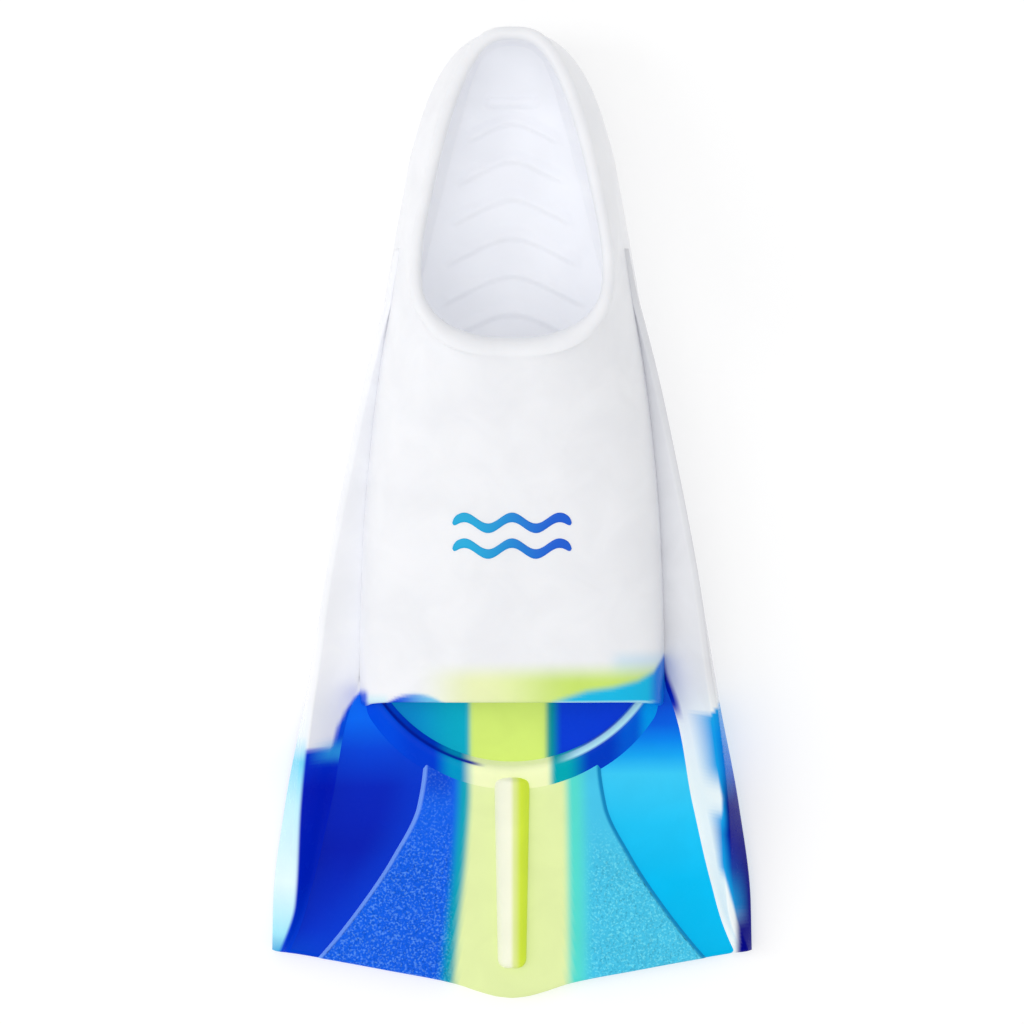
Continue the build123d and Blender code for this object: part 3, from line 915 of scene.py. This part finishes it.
def build_rails(material):
    right = rail_sections()
    for name, sign, paint, glow in (("rail_right", 1, paint_rail_right, GLOW),
                                    ("rail_left", -1, paint_rail_left, LEFT_RAIL_GLOW)):
        obj = make_loft(name, right * (sign, 1, 1), material, paint, glow)
        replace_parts(obj, name.replace("rail", "rail_rear"), name.replace("rail", "rail_flex"),
                    name.replace("rail", "rail_blade"))
        bend(obj)


def build_rib(name, rear, front, half, tip_half, rise, down, material, paint, node):
    """A rounded rib along the blade's middle, on its top or below it. It rises softly and ends round."""
    run_in, run_out = 0.06, 0.05
    share = np.concatenate([np.linspace(0, run_in, 9)[:-1], np.linspace(run_in, 1 - run_out, 90),
                            np.linspace(1 - run_out, 1, 12)[1:]])
    y = rear + (front - rear) * share
    end = np.sqrt(np.clip(1 - (np.clip(share - 1 + run_out, 0, run_out) / run_out) ** 2, 0.01, 1))
    start = ease(share, 0, run_in)
    wide = (half + (tip_half - half) * share) * (0.35 + 0.65 * end) * (0.6 + 0.4 * start)
    turn = np.linspace(0, math.pi, 29)[None, :]
    x = -np.cos(turn) * wide[:, None]
    bulge = np.sin(turn) ** 1.15 * (rise * end * start)[:, None]
    base = (web_low(y) - 0.5)[:, None] if down else (web_top(y) + CENTRE_RAISE)[:, None]
    sign = -1 if down else 1
    ridge = np.stack([x, y[:, None] + 0 * x, base + sign * (bulge - 0.25)], -1)
    floor_x = np.linspace(1, -1, 9)[None, 1:-1] * wide[:, None]
    floor = np.stack([floor_x, y[:, None] + 0 * floor_x, base - sign * 1.4 + 0 * floor_x], -1)
    obj = make_loft(name, np.concatenate([ridge, floor], 1), material, paint)
    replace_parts(obj, node)
    return bend(obj)


# Stage

def light(name, place, size, power):
    """A soft rectangular light that faces the fin."""
    data = bpy.data.lights.new(name, "AREA")
    data.shape = "RECTANGLE"
    data.size, data.size_y = size
    data.energy = power
    obj = bpy.data.objects.new(name, data)
    bpy.context.scene.collection.objects.link(obj)
    obj.location = place
    obj.rotation_mode = "QUATERNION"
    obj.rotation_quaternion = (-Vector(place)).to_track_quat("-Z", "Y")


def build_stage():
    mesh = bpy.data.meshes.new("floor")
    corners = [(x * FLOOR_HALF, y * FLOOR_HALF, FLOOR_Z) for x, y in ((-1, -1), (1, -1), (1, 1), (-1, 1))]
    mesh.from_pydata(corners, [], [(0, 1, 2, 3)])
    floor = bpy.data.objects.new("floor", mesh)
    bpy.context.scene.collection.objects.link(floor)
    material = bpy.data.materials.new("floor_white")
    material.use_nodes = True
    shader = material.node_tree.nodes["Principled BSDF"]
    shader.inputs["Base Color"].default_value = (FLOOR_GREY, FLOOR_GREY, FLOOR_GREY, 1)
    shader.inputs["Roughness"].default_value = 0.9
    shader.inputs["Emission Color"].default_value = (1, 1, 1, 1)
    shader.inputs["Emission Strength"].default_value = FLOOR_GLOW
    mesh.materials.append(material)
    world = bpy.data.worlds.new("soft_white")
    world.use_nodes = True
    background = world.node_tree.nodes["Background"]
    background.inputs["Color"].default_value = (1, 1, 1, 1)
    background.inputs["Strength"].default_value = SKY_LIGHT
    bpy.context.scene.world = world
    light("key_left", place=(-1.3, 0.1, 1.3), size=(0.6, 0.9), power=4.5)
    light("soft_top", place=(-0.35, -0.3, 1.9), size=(1.4, 1.4), power=8)


def build_camera():
    data = bpy.data.cameras.new("camera")
    data.sensor_width = 36
    data.lens = LENS
    camera = bpy.data.objects.new("camera", data)
    bpy.context.scene.collection.objects.link(camera)
    camera.location = (0, SHIFT_Y * MM, CAMERA_Z)
    bpy.context.scene.camera = camera


bpy.context.scene.view_settings.view_transform = "Standard"

pearl = silicone("pearl_silicone", rough=(0.3, 0.4), clear=0.12, shine=0.22)
gloss = silicone("gloss_silicone", rough=(0.2, 0.3), clear=0.04, shine=0.03)
textured = silicone("textured_silicone", rough=(0.28, 0.38), clear=0.04, shine=0.06, grain=True)
ink = silicone("mark_ink", rough=(0.34, 0.44), clear=0.0, shine=0.3)
sole = silicone("sole_silicone", rough=(0.38, 0.5), clear=0.12, shine=0.4, colour=rgb(240, 242, 246))

pocket = build_pocket(pearl)
build_footbed(pearl)
build_toe_floor(gloss)
build_lip(gloss)
build_mark(pocket, ink)
build_centre(textured)
build_channel("channel_web_right", 1, gloss, paint_channel_right,
              ("channel_panel_right", "channel_flex_right", "channel_root_right"))
build_channel("channel_web_left", -1, gloss, paint_channel_left,
              ("channel_panel_left", "channel_flex_left", "channel_root_left"))
build_rails(gloss)
build_rib("centre_rib_roll", rear=-97.5, front=-173, half=6.8, tip_half=5.4, rise=5, down=False,
          material=pearl, paint=paint_rib, node="centre_rib")
build_rib("keel_rib_roll", rear=-104, front=-173, half=4.2, tip_half=3.6, rise=3, down=True,
          material=pearl, paint=paint_keel, node="keel_rib")
for name in ("sole_tread", "heel_pad"):
    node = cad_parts[name]
    node.data.materials.clear()
    node.data.materials.append(sole)

build_stage()
build_camera()
